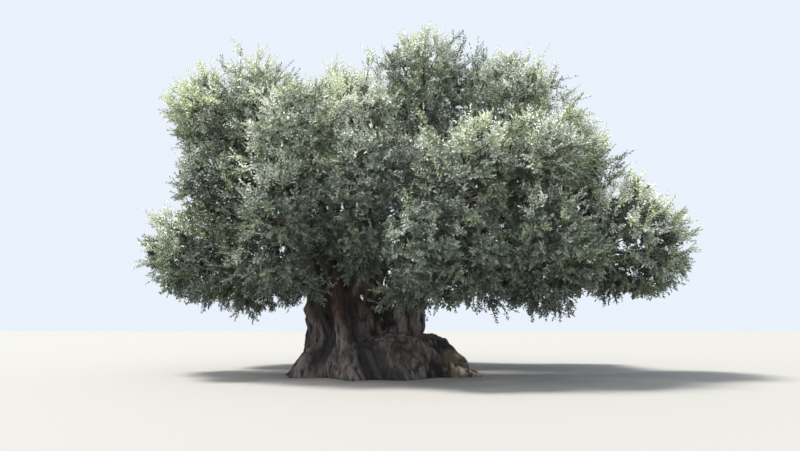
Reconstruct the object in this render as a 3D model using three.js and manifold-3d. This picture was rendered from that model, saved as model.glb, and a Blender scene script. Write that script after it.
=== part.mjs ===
// An ancient wild olive tree on level ground: one broad, fluted trunk that parts into stems, the
// boughs that rise from them, and the masses of foliage that the boughs carry.
// Millimetres, +Z up. The origin is the middle of the flat cut under the trunk, at ground level.
// The tree faces -Y, so +X is its right hand seen from the front.
import * as THREE from "three";
import { mergeVertices } from "three/addons/utils/BufferGeometryUtils.js";
import Module from "manifold-3d";

const wasm = await Module();
wasm.setup();

// Driving dimensions
const GAP = 0.4; // clearance left between two solids that touch
const ENTRY = 320; // how far a bough runs into the mass that it carries
const MASS_DETAIL = 2; // subdivision of a mass's surface
const MOUND_SIDES = 26;
const STEM_SIDES = 12;
const STEM_ROWS = 4;
const BOUGH_SIDES = 6;
const BOUGH_ROWS = 4;

// The foot of the trunk: a wide mound of grown-together roots under the stems.
const MOUND = {
  centre: [-130, 150],
  depthShare: 0.78, // depth of the mound as a share of its width
  buttresses: 9,
  // height and half width, from the ground to the crest
  profile: [
    [0, 2850],
    [130, 2760],
    [420, 2560],
    [820, 2290],
    [1080, 1980],
    [1210, 1350],
    [1260, 550],
  ],
  groundRipple: 0.145, // how far the buttresses stand out at the ground, as a share of the radius
  crestRipple: 0.045, // and at the crest
  fadeHeight: 450,
};
const BUTTRESS_WAVES = [
  { pace: 0.55, share: 0.8 },
  { pace: 1, share: 0.6 },
  { pace: 1.7, share: 0.45 },
];

// The stems that the trunk parts into. Each runs through three places, with its radius at each.
const STEMS = {
  left_stem: { via: [[-1700, 0, 150], [-1850, 0, 1500], [-2140, -40, 2900]], radii: [880, 580, 290] },
  centre_stem: { via: [[-850, -350, 150], [-960, -420, 1500], [-1290, -260, 2750]], radii: [1080, 740, 330] },
  right_stem: { via: [[350, -60, 150], [600, -90, 1500], [960, -20, 2400]], radii: [980, 590, 430] },
  middle_stem: { via: [[-150, 250, 150], [-50, 250, 1100], [50, 350, 1950]], radii: [1100, 900, 520] },
  back_stem: { via: [[-250, 800, 150], [-300, 1250, 1500], [-380, 1600, 2600]], radii: [1050, 640, 380] },
};

// The boughs, each named after the mass that it carries. A bough leaves its parent limb at a share
// of the limb's length, passes one bend and ends inside its mass.
const BOUGHS = {
  left_middle: { from: "left_stem", share: 0.98, bend: [-2900, 0, 4350], radii: [280, 150] },
  left_inner_top: { from: "left_middle", share: 0.3, bend: [-3050, 350, 5700], radii: [190, 110] },
  left_skirt: { from: "left_stem", share: 0.8, bend: [-3150, -350, 3050], radii: [210, 120] },
  front_left_low: { from: "centre_stem", share: 0.9, bend: [-1950, -1250, 3500], radii: [210, 120] },
  centre_top: { from: "centre_stem", share: 0.98, bend: [-1200, -250, 4300], radii: [310, 170] },
  front_left_top: { from: "centre_top", share: 0.35, bend: [-1900, -700, 5000], radii: [180, 110] },
  front_middle: { from: "centre_stem", share: 0.75, bend: [-500, -1500, 3200], radii: [200, 110] },
  crown_top: { from: "centre_top", share: 0.45, bend: [-150, 150, 5900], radii: [210, 120] },
  right_upper: { from: "right_stem", share: 0.98, bend: [2250, -50, 3900], radii: [380, 180] },
  right_top: { from: "right_upper", share: 0.35, bend: [2550, 250, 5400], radii: [230, 130] },
  right_low: { from: "right_upper", share: 0.16, bend: [3300, 350, 3050], radii: [260, 140] },
  front_right_low: { from: "right_low", share: 0.3, bend: [3200, -1400, 3100], radii: [180, 110] },
  front_low: { from: "right_stem", share: 0.82, bend: [1150, -1600, 3000], radii: [240, 130] },
  front_high: { from: "front_low", share: 0.35, bend: [1600, -1500, 4200], radii: [170, 110] },
  back_left_low: { from: "back_stem", share: 0.98, bend: [-1800, 2300, 3600], radii: [300, 150] },
  back_middle_top: { from: "back_left_low", share: 0.25, bend: [-1000, 2000, 5100], radii: [220, 120] },
  back_left_top: { from: "back_left_low", share: 0.4, bend: [-2100, 2600, 4700], radii: [190, 110] },
  back_middle: { from: "back_stem", share: 0.9, bend: [-250, 2600, 3200], radii: [230, 130] },
  back_right_low: { from: "back_stem", share: 0.82, bend: [1300, 2300, 3300], radii: [260, 140] },
  back_right_top: { from: "back_right_low", share: 0.4, bend: [1900, 2300, 4600], radii: [190, 110] },
};

// Ripples round a stem and round a bough.
const STEM_FLUTES = { count: 5, depth: 0.07 };
const BOUGH_FLUTES = { count: 3, depth: 0.05 };
const FLUTE_PACES = [1, 1.6, 2.3];

// The masses of foliage: middle, and half sizes across, in depth and in height.
const MASSES = {
  left_outer_top: { at: [-6050, 300, 8250], half: [1450, 1950, 1850] },
  left_inner_top: { at: [-4550, 700, 8400], half: [1600, 2150, 2250] },
  left_middle: { at: [-5400, 0, 5850], half: [1600, 2350, 2150] },
  left_far_low: { at: [-6700, 500, 3700], half: [1250, 1900, 1400] },
  left_skirt: { at: [-5050, -1500, 3200], half: [1700, 1900, 1600] },
  left_inner_skirt: { at: [-3050, -2450, 2900], half: [1650, 1200, 900] },
  front_left_top: { at: [-2650, -1300, 6950], half: [1500, 2350, 2150] },
  front_left_low: { at: [-2550, -3000, 4650], half: [1500, 1800, 1600] },
  front_middle: { at: [-500, -3300, 4950], half: [1450, 1850, 2200] },
  centre_top: { at: [-950, -300, 7750], half: [1750, 2200, 2150] },
  crown_top: { at: [1400, 400, 9000], half: [1600, 2100, 2300] },
  right_top: { at: [3850, 400, 8500], half: [1850, 2300, 2100] },
  right_upper: { at: [5750, 0, 6650], half: [1750, 2400, 1950] },
  right_low: { at: [7450, -200, 4200], half: [2250, 2600, 2150] },
  front_high: { at: [2250, -3200, 5850], half: [1850, 2100, 1800] },
  front_low: { at: [1500, -4250, 3350], half: [2100, 1600, 1600] },
  front_right_high: { at: [4300, -2600, 6150], half: [1600, 2000, 1750] },
  front_right_low: { at: [4450, -3350, 3450], half: [1800, 1750, 1950] },
  back_left_top: { at: [-2900, 3200, 7300], half: [2250, 2400, 2100] },
  back_left_low: { at: [-4500, 3900, 4000], half: [2350, 2400, 2050] },
  back_middle: { at: [300, 5500, 4300], half: [2850, 2050, 2250] },
  back_middle_top: { at: [400, 3500, 8100], half: [2200, 2300, 2200] },
  back_right_top: { at: [3150, 3700, 7200], half: [2000, 2300, 2150] },
  back_right_low: { at: [5200, 3900, 4150], half: [2350, 2300, 2150] },
};
const LUMPS = { count: 6, depth: 0.055, slowest: 3.5, spread: 4 };

// Seeded numbers from 0 to 1, the same ones for the same name.
function seeded(name) {
  let state = 2166136261;
  for (const letter of name) state = Math.imul(state ^ letter.charCodeAt(0), 16777619) >>> 0;
  return () => {
    state = (Math.imul(state, 1664525) + 1013904223) >>> 0;
    return state / 2 ** 32;
  };
}

// A closed three.js geometry as a solid, and back.
function solidOf(geometry) {
  const bare = geometry.clone();
  bare.deleteAttribute("normal");
  bare.deleteAttribute("uv");
  const merged = mergeVertices(bare, 1e-3);
  return new wasm.Manifold(
    new wasm.Mesh({
      numProp: 3,
      vertProperties: merged.attributes.position.array,
      triVerts: new Uint32Array(merged.index.array),
    }),
  );
}

function geometryOf(solid) {
  const mesh = solid.getMesh();
  const geometry = new THREE.BufferGeometry();
  geometry.setAttribute("position", new THREE.BufferAttribute(mesh.vertProperties, mesh.numProp));
  geometry.setIndex(new THREE.BufferAttribute(mesh.triVerts, 1));
  geometry.computeVertexNormals();
  return geometry;
}

// The largest of the bodies that cutting left.
function largestBody(solid) {
  return solid.decompose().reduce((best, body) => (body.volume() > best.volume() ? body : best));
}

// Moves each point of a geometry as move(point) says.
function reshape(geometry, move) {
  const points = geometry.attributes.position;
  const point = new THREE.Vector3();
  for (let i = 0; i < points.count; i++) {
    point.fromBufferAttribute(points, i);
    move(point);
    points.setXYZ(i, point.x, point.y, point.z);
  }
  return geometry;
}

// The same geometry with each triangle turned round.
function flipped(geometry) {
  const index = geometry.index;
  for (let i = 0; i < index.count; i += 3) {
    const second = index.getX(i + 1);
    index.setX(i + 1, index.getX(i + 2));
    index.setX(i + 2, second);
  }
  return geometry;
}

// The half of all space on one side of a plane, as a very large box.
const HALF_SPACE = 60000;
function halfSpace(place, normal) {
  const box = new THREE.BoxGeometry(HALF_SPACE, HALF_SPACE, HALF_SPACE);
  box.translate(0, 0, HALF_SPACE / 2);
  box.applyQuaternion(new THREE.Quaternion().setFromUnitVectors(new THREE.Vector3(0, 0, 1), normal));
  box.translate(place.x, place.y, place.z);
  return solidOf(box);
}

// Ripples round a limb: the share by which its radius grows at an angle.
function flutesOf(name, { count, depth }) {
  const random = seeded(name);
  const waves = FLUTE_PACES.map((pace) => ({
    turns: Math.round(count * pace),
    phase: random() * 2 * Math.PI,
    depth: depth / pace,
  }));
  return (angle) => waves.reduce((sum, w) => sum + w.depth * Math.cos(w.turns * angle + w.phase), 0);
}

// A limb's course, with its radius at each share of its length.
function limbThrough(name, places, radii, flutes) {
  const points = places.map((place) => new THREE.Vector3(...place));
  const curve = new THREE.CatmullRomCurve3(points, false, "centripetal");
  const radiusAt = (share) => {
    const along = share * (radii.length - 1);
    const first = Math.min(Math.floor(along), radii.length - 2);
    return THREE.MathUtils.lerp(radii[first], radii[first + 1], along - first);
  };
  return { curve, radiusAt, ripple: flutesOf(name, flutes) };
}

// One tapering limb with flat ends: a lathed spindle that is bent along its curve.
function limbSolid(limb, sides, rows, grow = 0) {
  const profile = [new THREE.Vector2(0, 0)];
  for (let row = 0; row <= rows; row++) profile.push(new THREE.Vector2(1, row / rows));
  profile.push(new THREE.Vector2(0, 1));
  const frames = limb.curve.computeFrenetFrames(rows);
  const spindle = reshape(new THREE.LatheGeometry(profile, sides), (point) => {
    const row = Math.round(point.y * rows);
    const share = row / rows;
    const angle = Math.atan2(point.z, point.x);
    const radius = Math.hypot(point.x, point.z) * (limb.radiusAt(share) * (1 + limb.ripple(angle)) + grow);
    const end = share === 0 ? -grow : share === 1 ? grow : 0;
    point
      .copy(limb.curve.getPointAt(share))
      .addScaledVector(frames.normals[row], radius * Math.cos(angle))
      .addScaledVector(frames.binormals[row], radius * Math.sin(angle))
      .addScaledVector(frames.tangents[row], end);
  });
  const solid = solidOf(spindle);
  return solid.volume() < 0 ? solidOf(flipped(spindle)) : solid;
}

const stemSolid = (limb, grow) => limbSolid(limb, STEM_SIDES, STEM_ROWS, grow);
const boughSolid = (limb, grow) => limbSolid(limb, BOUGH_SIDES, BOUGH_ROWS, grow);

// The mound under the stems: a lathed profile, squashed in depth, with buttresses that fade upwards.
function moundSolid() {
  const random = seeded("mound");
  const waves = BUTTRESS_WAVES.map(({ pace, share }) => ({
    turns: Math.round(MOUND.buttresses * pace),
    phase: random() * 2 * Math.PI,
    share,
  }));
  const crest = MOUND.profile.at(-1)[0];
  const profile = [
    new THREE.Vector2(0, 0),
    ...MOUND.profile.map(([height, halfWidth]) => new THREE.Vector2(halfWidth, height)),
    new THREE.Vector2(0, crest),
  ];
  const mound = reshape(new THREE.LatheGeometry(profile, MOUND_SIDES), (point) => {
    const angle = Math.atan2(point.z, point.x);
    const height = point.y;
    const fade = Math.exp(-height / MOUND.fadeHeight);
    const standing = THREE.MathUtils.lerp(MOUND.crestRipple, MOUND.groundRipple, fade);
    const ripple = waves.reduce((sum, w) => sum + w.share * Math.cos(w.turns * angle + w.phase), 0);
    const radius = Math.hypot(point.x, point.z) * (1 + standing * ripple);
    point.set(
      MOUND.centre[0] + radius * Math.cos(angle),
      MOUND.centre[1] - radius * Math.sin(angle) * MOUND.depthShare,
      height,
    );
  });
  return solidOf(mound);
}

// A mass's middle, and how far it reaches from there in each direction, with lumps of its own.
function massShape(name, { at, half }) {
  const random = seeded(name);
  const lumps = Array.from({ length: LUMPS.count }, () => ({
    wave: new THREE.Vector3(random() - 0.5, random() - 0.5, random() - 0.5).setLength(
      LUMPS.slowest + LUMPS.spread * random(),
    ),
    phase: random() * 2 * Math.PI,
  }));
  const reach = (direction) => {
    const lump = lumps.reduce((sum, l) => sum + Math.cos(l.wave.dot(direction) + l.phase), 0);
    return new THREE.Vector3(...half).multiply(direction).multiplyScalar(1 + LUMPS.depth * lump);
  };
  return { middle: new THREE.Vector3(...at), half: new THREE.Vector3(...half), reach };
}

function massSolid(shape) {
  const ball = reshape(new THREE.IcosahedronGeometry(1, MASS_DETAIL), (point) => {
    point.copy(shape.reach(point.clone().normalize())).add(shape.middle);
  });
  return solidOf(ball);
}

// Two masses that overlap are parted by a plane between their middles. This is the half of space
// that the first one keeps, or nothing where the two are clear of each other.
function keptBy(first, second) {
  if (first.solid.intersect(second.solid).isEmpty()) return null;
  const apart = second.middle.clone().sub(first.middle);
  const towards = apart.clone().normalize();
  const size = (shape) => 1 / towards.clone().divide(shape.half).length();
  const share = size(first) / (size(first) + size(second));
  const plane = first.middle.clone().addScaledVector(apart, share).addScaledVector(towards, -GAP / 2);
  return halfSpace(plane, towards.negate());
}

// Where a bough that comes from a bend stops inside its mass.
function entryPoint(bend, shape) {
  const direction = bend.clone().sub(shape.middle).divide(shape.half).normalize();
  const surface = shape.reach(direction);
  return shape.middle.clone().addScaledVector(surface, 1 - ENTRY / surface.length());
}

const bark = new THREE.MeshStandardMaterial({ color: 0x5b5046, roughness: 0.95, metalness: 0 });
const foliage = new THREE.MeshStandardMaterial({ color: 0x6f7a62, roughness: 0.8, metalness: 0 });

const tree = new THREE.Group();
function addMesh(name, solid, material) {
  const mesh = new THREE.Mesh(geometryOf(largestBody(solid)), material);
  mesh.name = name;
  tree.add(mesh);
}

// The trunk: the mound and its stems, cut flat at the ground.
const limbs = {};
for (const [name, stem] of Object.entries(STEMS)) {
  limbs[name] = limbThrough(name, stem.via, stem.radii, STEM_FLUTES);
}
const trunkOf = (grow) =>
  Object.keys(STEMS).reduce((solid, name) => solid.add(stemSolid(limbs[name], grow)), moundSolid());
const aboveGround = halfSpace(new THREE.Vector3(0, 0, 0), new THREE.Vector3(0, 0, 1));
addMesh("trunk", trunkOf(0).intersect(aboveGround), bark);

// The boughs, each cut clear of the trunk and of the boughs before it.
const shapes = {};
for (const [name, mass] of Object.entries(MASSES)) shapes[name] = massShape(name, mass);
let wood = trunkOf(GAP);
for (const [name, bough] of Object.entries(BOUGHS)) {
  const start = limbs[bough.from].curve.getPointAt(bough.share).toArray();
  const end = entryPoint(new THREE.Vector3(...bough.bend), shapes[name]).toArray();
  limbs[name] = limbThrough(name, [start, bough.bend, end], bough.radii, BOUGH_FLUTES);
  addMesh("bough_" + name, boughSolid(limbs[name]).subtract(wood), bark);
  wood = wood.add(boughSolid(limbs[name], GAP));
}

// The masses, each cut clear of its neighbours and of the wood.
for (const shape of Object.values(shapes)) shape.solid = massSolid(shape);
for (const [name, shape] of Object.entries(shapes)) {
  let solid = shape.solid;
  for (const other of Object.values(shapes)) {
    const kept = other === shape ? null : keptBy(shape, other);
    if (kept) solid = solid.intersect(kept);
  }
  addMesh("foliage_" + name, solid.subtract(wood), foliage);
}

export default tree;
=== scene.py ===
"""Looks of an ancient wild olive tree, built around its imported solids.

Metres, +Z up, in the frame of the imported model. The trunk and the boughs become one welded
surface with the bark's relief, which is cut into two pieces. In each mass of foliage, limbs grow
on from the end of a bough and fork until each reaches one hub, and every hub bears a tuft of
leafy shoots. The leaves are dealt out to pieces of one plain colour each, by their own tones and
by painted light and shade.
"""

import bpy
import numpy as np
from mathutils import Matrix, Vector
from mathutils.bvhtree import BVHTree
from mathutils.kdtree import KDTree


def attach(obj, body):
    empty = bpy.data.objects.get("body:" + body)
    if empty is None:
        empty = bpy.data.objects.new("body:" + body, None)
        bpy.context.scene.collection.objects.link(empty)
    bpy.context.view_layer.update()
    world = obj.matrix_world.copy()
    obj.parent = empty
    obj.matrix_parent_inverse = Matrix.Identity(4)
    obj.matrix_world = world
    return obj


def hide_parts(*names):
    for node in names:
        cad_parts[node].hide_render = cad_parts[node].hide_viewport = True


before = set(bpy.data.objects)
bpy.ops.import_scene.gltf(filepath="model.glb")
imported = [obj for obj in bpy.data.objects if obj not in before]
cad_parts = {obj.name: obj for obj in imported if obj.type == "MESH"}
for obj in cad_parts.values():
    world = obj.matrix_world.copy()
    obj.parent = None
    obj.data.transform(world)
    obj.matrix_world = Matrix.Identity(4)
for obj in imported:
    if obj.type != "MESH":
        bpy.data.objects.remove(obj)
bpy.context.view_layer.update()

SEED = 11
UP = np.array([0.0, 0.0, 1.0])

# How many numbers each property of a mesh's items holds.
NUMBERS_EACH = {"co": 3, "vertices": 3, "vertex_index": 1}

# The whole numbers of the noise's hash.
HASH_PRIMES = np.array([73856093, 19349663, 83492791], np.uint64)
HASH_SEED_STEP = np.uint64(2654435761)
HASH_ROUNDS = np.array([(15, 2246822519), (13, 3266489917)], np.uint64)
HASH_MASK = np.uint64(0xFFFFFFFF)

# The camera stands at the photo's viewpoint.
CAMERA_PLACE = (0.47, -20.3, 1.5)
CAMERA_PITCH = 8.9  # degrees above level
CAMERA_LENS = 28.8  # millimetres
CAMERA_SENSOR = 36.0
FURTHEST_SEEN = 400.0
FLOOR_HALF = 160.0
FLOOR_LOOK = ("floor", (132, 131, 128), 0.9)
SKY_COLOUR = (226, 234, 244)
SKY_STRENGTH = 1.08

# Each light: its name, the way it shines, its strength, its width in degrees and its colour.
LIGHTS = [
    ("key", (0.42, -0.04, -0.9), 8.5, 14, (1.0, 0.97, 0.91)),
    ("fill", (0.35, 0.85, -0.35), 2.1, 120, (1.0, 1.0, 1.0)),
]

# Bark
BARK_VOXEL = 0.036
BARK_SMOOTHINGS = 9
SMOOTHING_STEPS = (0.5, -0.53)  # drawn in, then swelled again
BOUGH_FACES_KEPT = 0.4
ALONG_GRAIN = 0.15  # how much slower the relief changes along a limb than round it
TWIST = 0.22  # radians that the trunk's furrows turn in each metre of height
TRUNK_RELIEF = [(0.9, 0.15), (2.3, 0.15), (5.2, 0.1), (11.0, 0.045)]  # pace per metre, depth
BOUGH_RELIEF = [(3.2, 0.035), (8.0, 0.018), (20.0, 0.006)]
LAYER_SHIFT = 7.3
RIDGE_POWER = 0.75  # below 1 rounds the ridges
RIDGE_MIDDLE = 0.45
SWAY = 0.55
SWAY_PACE = 0.9
FIRST_WOOD_SEED = 40
RELIEF_SPAN = 0.22  # metres from the darkest furrow to the palest ridge
LIMB_BLEND = 0.07  # over which one limb's relief gives way to the next one's
LIMB_REACH = 0.3
LEAST_SHARE = 0.02
FAR_OFF = 9.0
BURLS = 34
BURL_SIZE = (0.1, 0.28)
BURL_BULGE = 0.42  # the most, as a share of its size
BURL_HEIGHTS = (0.1, 2.2)
BURL_STRENGTH = (0.5, 1)
FLAT_FOOT = 0.02

# A hollow in the trunk's front, carved in and given the darkest furrow colour as painted shade, only
# in bark whose way out has at most this y.
HOLLOW = {"centre": (-0.06, -1.0, 1.5), "half": (0.17, 0.9, 0.26), "depth": 0.42, "most_y": 0.2}

# Patches on the bark: the middle and half sizes of soft ellipsoids.
PATCH_EDGE = 1.6
STREAK_PACE = (6.0, 6.0, 1.3)
STREAK_SHARE = 2.6
STREAK_NOISE = 1.7
BARE_HEARTWOOD = [((-1.35, -0.7, 2.35), (0.7, 0.9, 0.95))]
WEATHERED_WOOD = [
    ((2.35, -1.2, 0.6), (0.85, 1.6, 0.95)),
    ((-1.36, -1.4, 1.2), (0.125, 0.6, 0.42)),
]

# Bark colours, on the display's scale of 0 to 255. A pair runs from furrow to ridge: the furrows'
# dark is partly the bark's own colour and partly painted shade.
BARK_COLOURS = ((28, 25, 25), (104, 95, 91))
HEARTWOOD_COLOURS = ((34, 22, 19), (86, 56, 47))
WEATHERED_COLOURS = ((92, 80, 66), (204, 186, 160))
BROWN_PATCH_COLOUR = (60, 50, 46)
FISSURE_COLOUR = (26, 23, 22)
CRACK_COLOUR = (30, 26, 24)
ROUGH = 0.85
TWIG_LOOK = ("twig_bark", (84, 77, 69), ROUGH)  # the material's name, colour and roughness
SHOOT_LOOK = ("shoot_bark", (122, 118, 92), 0.8)
BARK_ROUGHNESS = (0.7, 0.98)
GRAIN_ROUGHNESS = 0.62
BUMP_STRENGTH = 0.9
BUMP_DEPTH = 0.035

# The places of a colour mix node's sockets, whose names it shares with those of other kinds.
MIX_SHARE, MIX_FIRST, MIX_SECOND, MIX_RESULT = 0, 6, 7, 2

# Foliage
SKIN_DENSITY = 90  # random points to the square metre, which are then thinned out
SKIN_SPACING = 0.22
SHARED_SKIN = 0.04  # points this near the next mass count as hidden
SKIN_NEIGHBOURS = 12
OUTWARD_PULL = 4
FILL_DENSITY = 70  # to the cubic metre
TUFT_SPACING = 0.35
TUFT_DEPTH = (0.22, 0.52)  # least and most, below the crown's surface
INNER_SPACING = 0.51
INNER_DEPTH = (0.64, 2.1)
CREASE_REACH = 0.4  # hubs this near the next mass lie deeper
CREASE_DEPTH = 0.2
# Painted shade: how much darker the leaves are painted in the creases between masses.
CREASE_SHADE = 1.2
LEVEL_STANDING = 0.4
SWELL_STANDING = 4
DARK_KEPT = 0.3  # the share of the hubs that is kept in full shade
LIT_KEPT = 2.6
OUTWARD_TURN = 0.5
GAP_DENSITY = 40
GAP_REACH = 0.85  # the most from a hub in a gap to the masses on both sides
GAP_CLEARANCE = 0.06  # the least from it to any mass
GAP_RAYS = 24
GAP_SIGHT = 2.2
GAP_OPEN = 0.36  # the most of its sight lines that may be clear
GAP_SPACING = 0.42
GAP_SPREAD = 0.3
# Painted shade: the leaves on hubs in the gaps between masses are painted dark.
GAP_PAINTED_SHADE = -1.4  # makes its leaves dark
OPEN_RAYS = 7
OPEN_SPREAD = 0.9
OPEN_START = 0.75  # how far out its sight lines begin
OPEN_SIGHT = 7.0
LOBE_SPACING = 1.6
LOBE_REACH = 1.1
LOBE_HEIGHT = (0.04, 0.2)
LOBE_CREST = 1.2
LOBE_DIP = 0.16
OUTLYING_TRIES = 500
OUTLYING_LIGHT = 0.4
SIDE_LIMB_SHARE = 0.8  # of its parent's radius
SIDE_LIMB_BEND = 0.5
END_CORNERS = 6  # a bough's solid has this many corners round its end
SPLIT_RANGE = (0.34, 0.66)  # the share of a limb's hubs that one fork takes
FORK_RANGE = (0.32, 0.5)  # where along the way to its hubs a limb forks
FORK_WANDER = 0.09
LIMB_TAPER = 0.9
LIMB_FOOT = 1.35
STEEP = 0.9
LIMB_BEND = 0.35  # how much of its first heading a limb keeps
TWIG_LENGTH = 0.4  # the stretch below each hub that bears shoots
TWIG_RADIUS = 0.0085
LIMB_KINDS = (0.014, 0.045)  # the radii from which a limb is of the next kind
LIMB_SHAPES = ((3, 1), (4, 2), (6, 3))  # sides and rows of each kind
SHOOT_RADIUS = 0.0045
OUTER_SHOOTS = 6.2  # the usual number on a hub
SHADED_SHOOTS = 0.55
LIT_SHOOTS = 0.6
FULL_LIGHT = 1.6
OUTER_SPREAD = 0.8
OUTER_LIFT = (0.3, 0.2, -0.25)  # at the sides, and what is added on top and underneath
OUTER_LENGTH = (0.31, 0.06, -0.08)
LENGTH_VARIES = 0.06
SHOOT_RANGE = (0.72, 1.25)
TWIG_PULL = 0.25
TALL_SHARE = 0.1
TALL_LENGTH = 1.4
TALL_FACING = 0.2
INNER_SHOOTS = 6
INNER_SHOOT = 0.36
INNER_SPREAD = 1.1
INNER_LIFT = 0.1
LEAF_PAIRS = 6
LEAVES_PER_SHOOT = 2 * LEAF_PAIRS + 1
OUTER_LEAF = (0.118, 0.05)  # length and width
INNER_LEAF = (0.2, 0.115)
LEAF_RANGE = (0.75, 1.2)
LEAF_SIZE = 1.05  # at the foot of a shoot, as a share of that
LEAF_SIZE_LOST = 0.3  # at its tip
LEAF_WIDEST = 0.46  # where along a leaf it is widest
LEAF_ARCH = 0.05
LEAF_FOLD = 0.16
FIRST_LEAVES = 0.14  # where along a shoot its first pair sits
LEAVES_RUN = 0.8  # the share of a shoot that its pairs take up
LEAN = 62  # degrees between a leaf and the foot of its shoot
LEAN_LOST = 26  # how much less it is at the tip
TIP_LEAN = 0.3
TURN_VARIES = 0.6
LEAN_VARIES = 0.3
ROLL_VARIES = 0.35

# A mass without a bough of its own hangs on a side limb from the end of another mass's bough.
SIDE_LIMBS = {
    "left_outer_top": "left_inner_top",
    "left_far_low": "left_middle",
    "left_inner_skirt": "left_skirt",
    "front_right_high": "front_high",
}

# Painted light and shade: each mass is painted palest on its upper left, where the key light comes
# from, and darkest on its lower right.
PAINTED_LIGHT_SIDE = np.array([-0.42, 0.0, 0.52])

# What each measure of a hub adds to the value that its leaves' colour goes by. Openness to the sky,
# standing out, facing up and height add painted light, sinking into a crease adds painted shade, and
# the varying parts are the leaves' own random tones.
LIGHT_VALUE = 0.5
STANDING_VALUE = 0.4
FACING_VALUE = 0.25
HEIGHT_VALUE = 0.13
MIDDLE_HEIGHT = 5  # where the height adds nothing
HUB_VARIES = 0.1
SHOOT_VARIES = 0.1
LEAF_VARIES = 0.16

# Painted light and shade: how much paler or darker than the rest some masses are painted, for the
# sun that falls on them.
SUNLIT = {
    "left_outer_top": 0.6,
    "left_inner_top": 0.45,
    "left_far_low": 0.45,
    "left_middle": -0.1,
    "left_skirt": -0.1,
    "left_inner_skirt": -0.15,
    "front_left_top": 0.1,
    "front_middle": -0.25,
    "front_high": 0.45,
    "front_right_high": 0.5,
    "front_right_low": 0.08,
    "centre_top": 0.9,
    "right_top": -0.2,
    "right_upper": 0.5,
    "right_low": 0.95,
}

# Soft places painted paler as painted light, or darker as painted shade where the amount is
# negative: middle, half sizes, amount.
PLACE_EDGE = 2
PAINTED_LIGHT_PLACES = [
    ((0.9, -0.6, 8.95), (1.45, 2.4, 1.7), -0.9),
    ((2.5, -1.2, 7.9), (2.6, 2.4, 0.8), -1.6),
    ((2.65, -3.6, 6.25), (1.0, 1.3, 0.75), 2.0),
    ((1.2, -3.0, 7.25), (0.9, 1.4, 0.75), -1.3),
    ((2.2, -2.6, 7.4), (1.2, 1.8, 0.6), -1.3),
    ((3.95, -2.6, 7.25), (1.0, 1.4, 0.6), -0.6),
    ((-4.75, -0.9, 7.5), (0.75, 1.9, 1.8), -2.4),
    ((-3.5, -1.4, 8.0), (0.55, 1.9, 1.6), 2.4),
    ((-3.95, -1.8, 6.3), (0.55, 1.9, 1.5), 2.2),
    ((-1.45, -1.4, 7.45), (0.95, 1.6, 0.95), 1.2),
    ((-6.3, -0.2, 9.2), (0.8, 1.6, 0.9), 0.6),
    ((-2.0, -3.2, 5.2), (0.9, 1.4, 1.1), -0.7),
    ((-0.95, -1.2, 8.0), (1.4, 1.8, 1.4), 1.6),
    ((-5.8, -0.4, 8.7), (0.8, 1.6, 1.2), 0.9),
    ((-7.05, 0.0, 4.3), (1.1, 1.8, 1.1), 0.55),
    ((-2.9, -2.6, 3.1), (1.3, 1.3, 0.8), -0.5),
    ((0.62, -2.6, 6.6), (0.45, 2.4, 2.4), -0.8),
    ((5.3, 0.2, 9.5), (1.1, 1.8, 1.2), 1.6),
    ((6.4, 0.0, 7.4), (1.1, 1.8, 1.0), 0.9),
    ((8.1, 0.0, 5.45), (1.2, 1.8, 1.1), 0.8),
    ((-0.8, -3.6, 4.8), (1.2, 1.6, 1.6), -0.3),
]

# The share of hubs that bear the warm colours, and what adds to it or takes away from it.
WARM_SHARE = 0.18
WARM_TO_SIDES = 0.007
WARM_LOST_UP = 0.02
WARM_VARIES = 0.6
WARM_PACE = 0.4
WARM_SEED = 5
WARM_LIMITS = (0.08, 0.85)

# Soft places with more, or fewer, sprays of the warm colours: middle, half sizes, share.
WARMER_PLACES = [
    ((4.9, -1.6, 7.3), (2.0, 3.0, 1.8), 0.4),
    ((-6.3, 0.0, 8.7), (1.5, 2.2, 1.8), 0.3),
    ((-4.0, -2.0, 4.6), (1.6, 2.0, 1.4), 0.25),
    ((2.2, -4.6, 4.2), (2.2, 2.0, 1.8), -0.12),
]

# Tops of masses that carry no shoots of their own, as the crown behind them shows there.
BARE_TOPS = {
    "front_high": ((1.95, -3.2, 7.8), (2.2, 3.0, 1.15)),
    "front_right_high": ((4.3, -2.6, 8.1), (1.8, 2.6, 0.95)),
}

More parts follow.
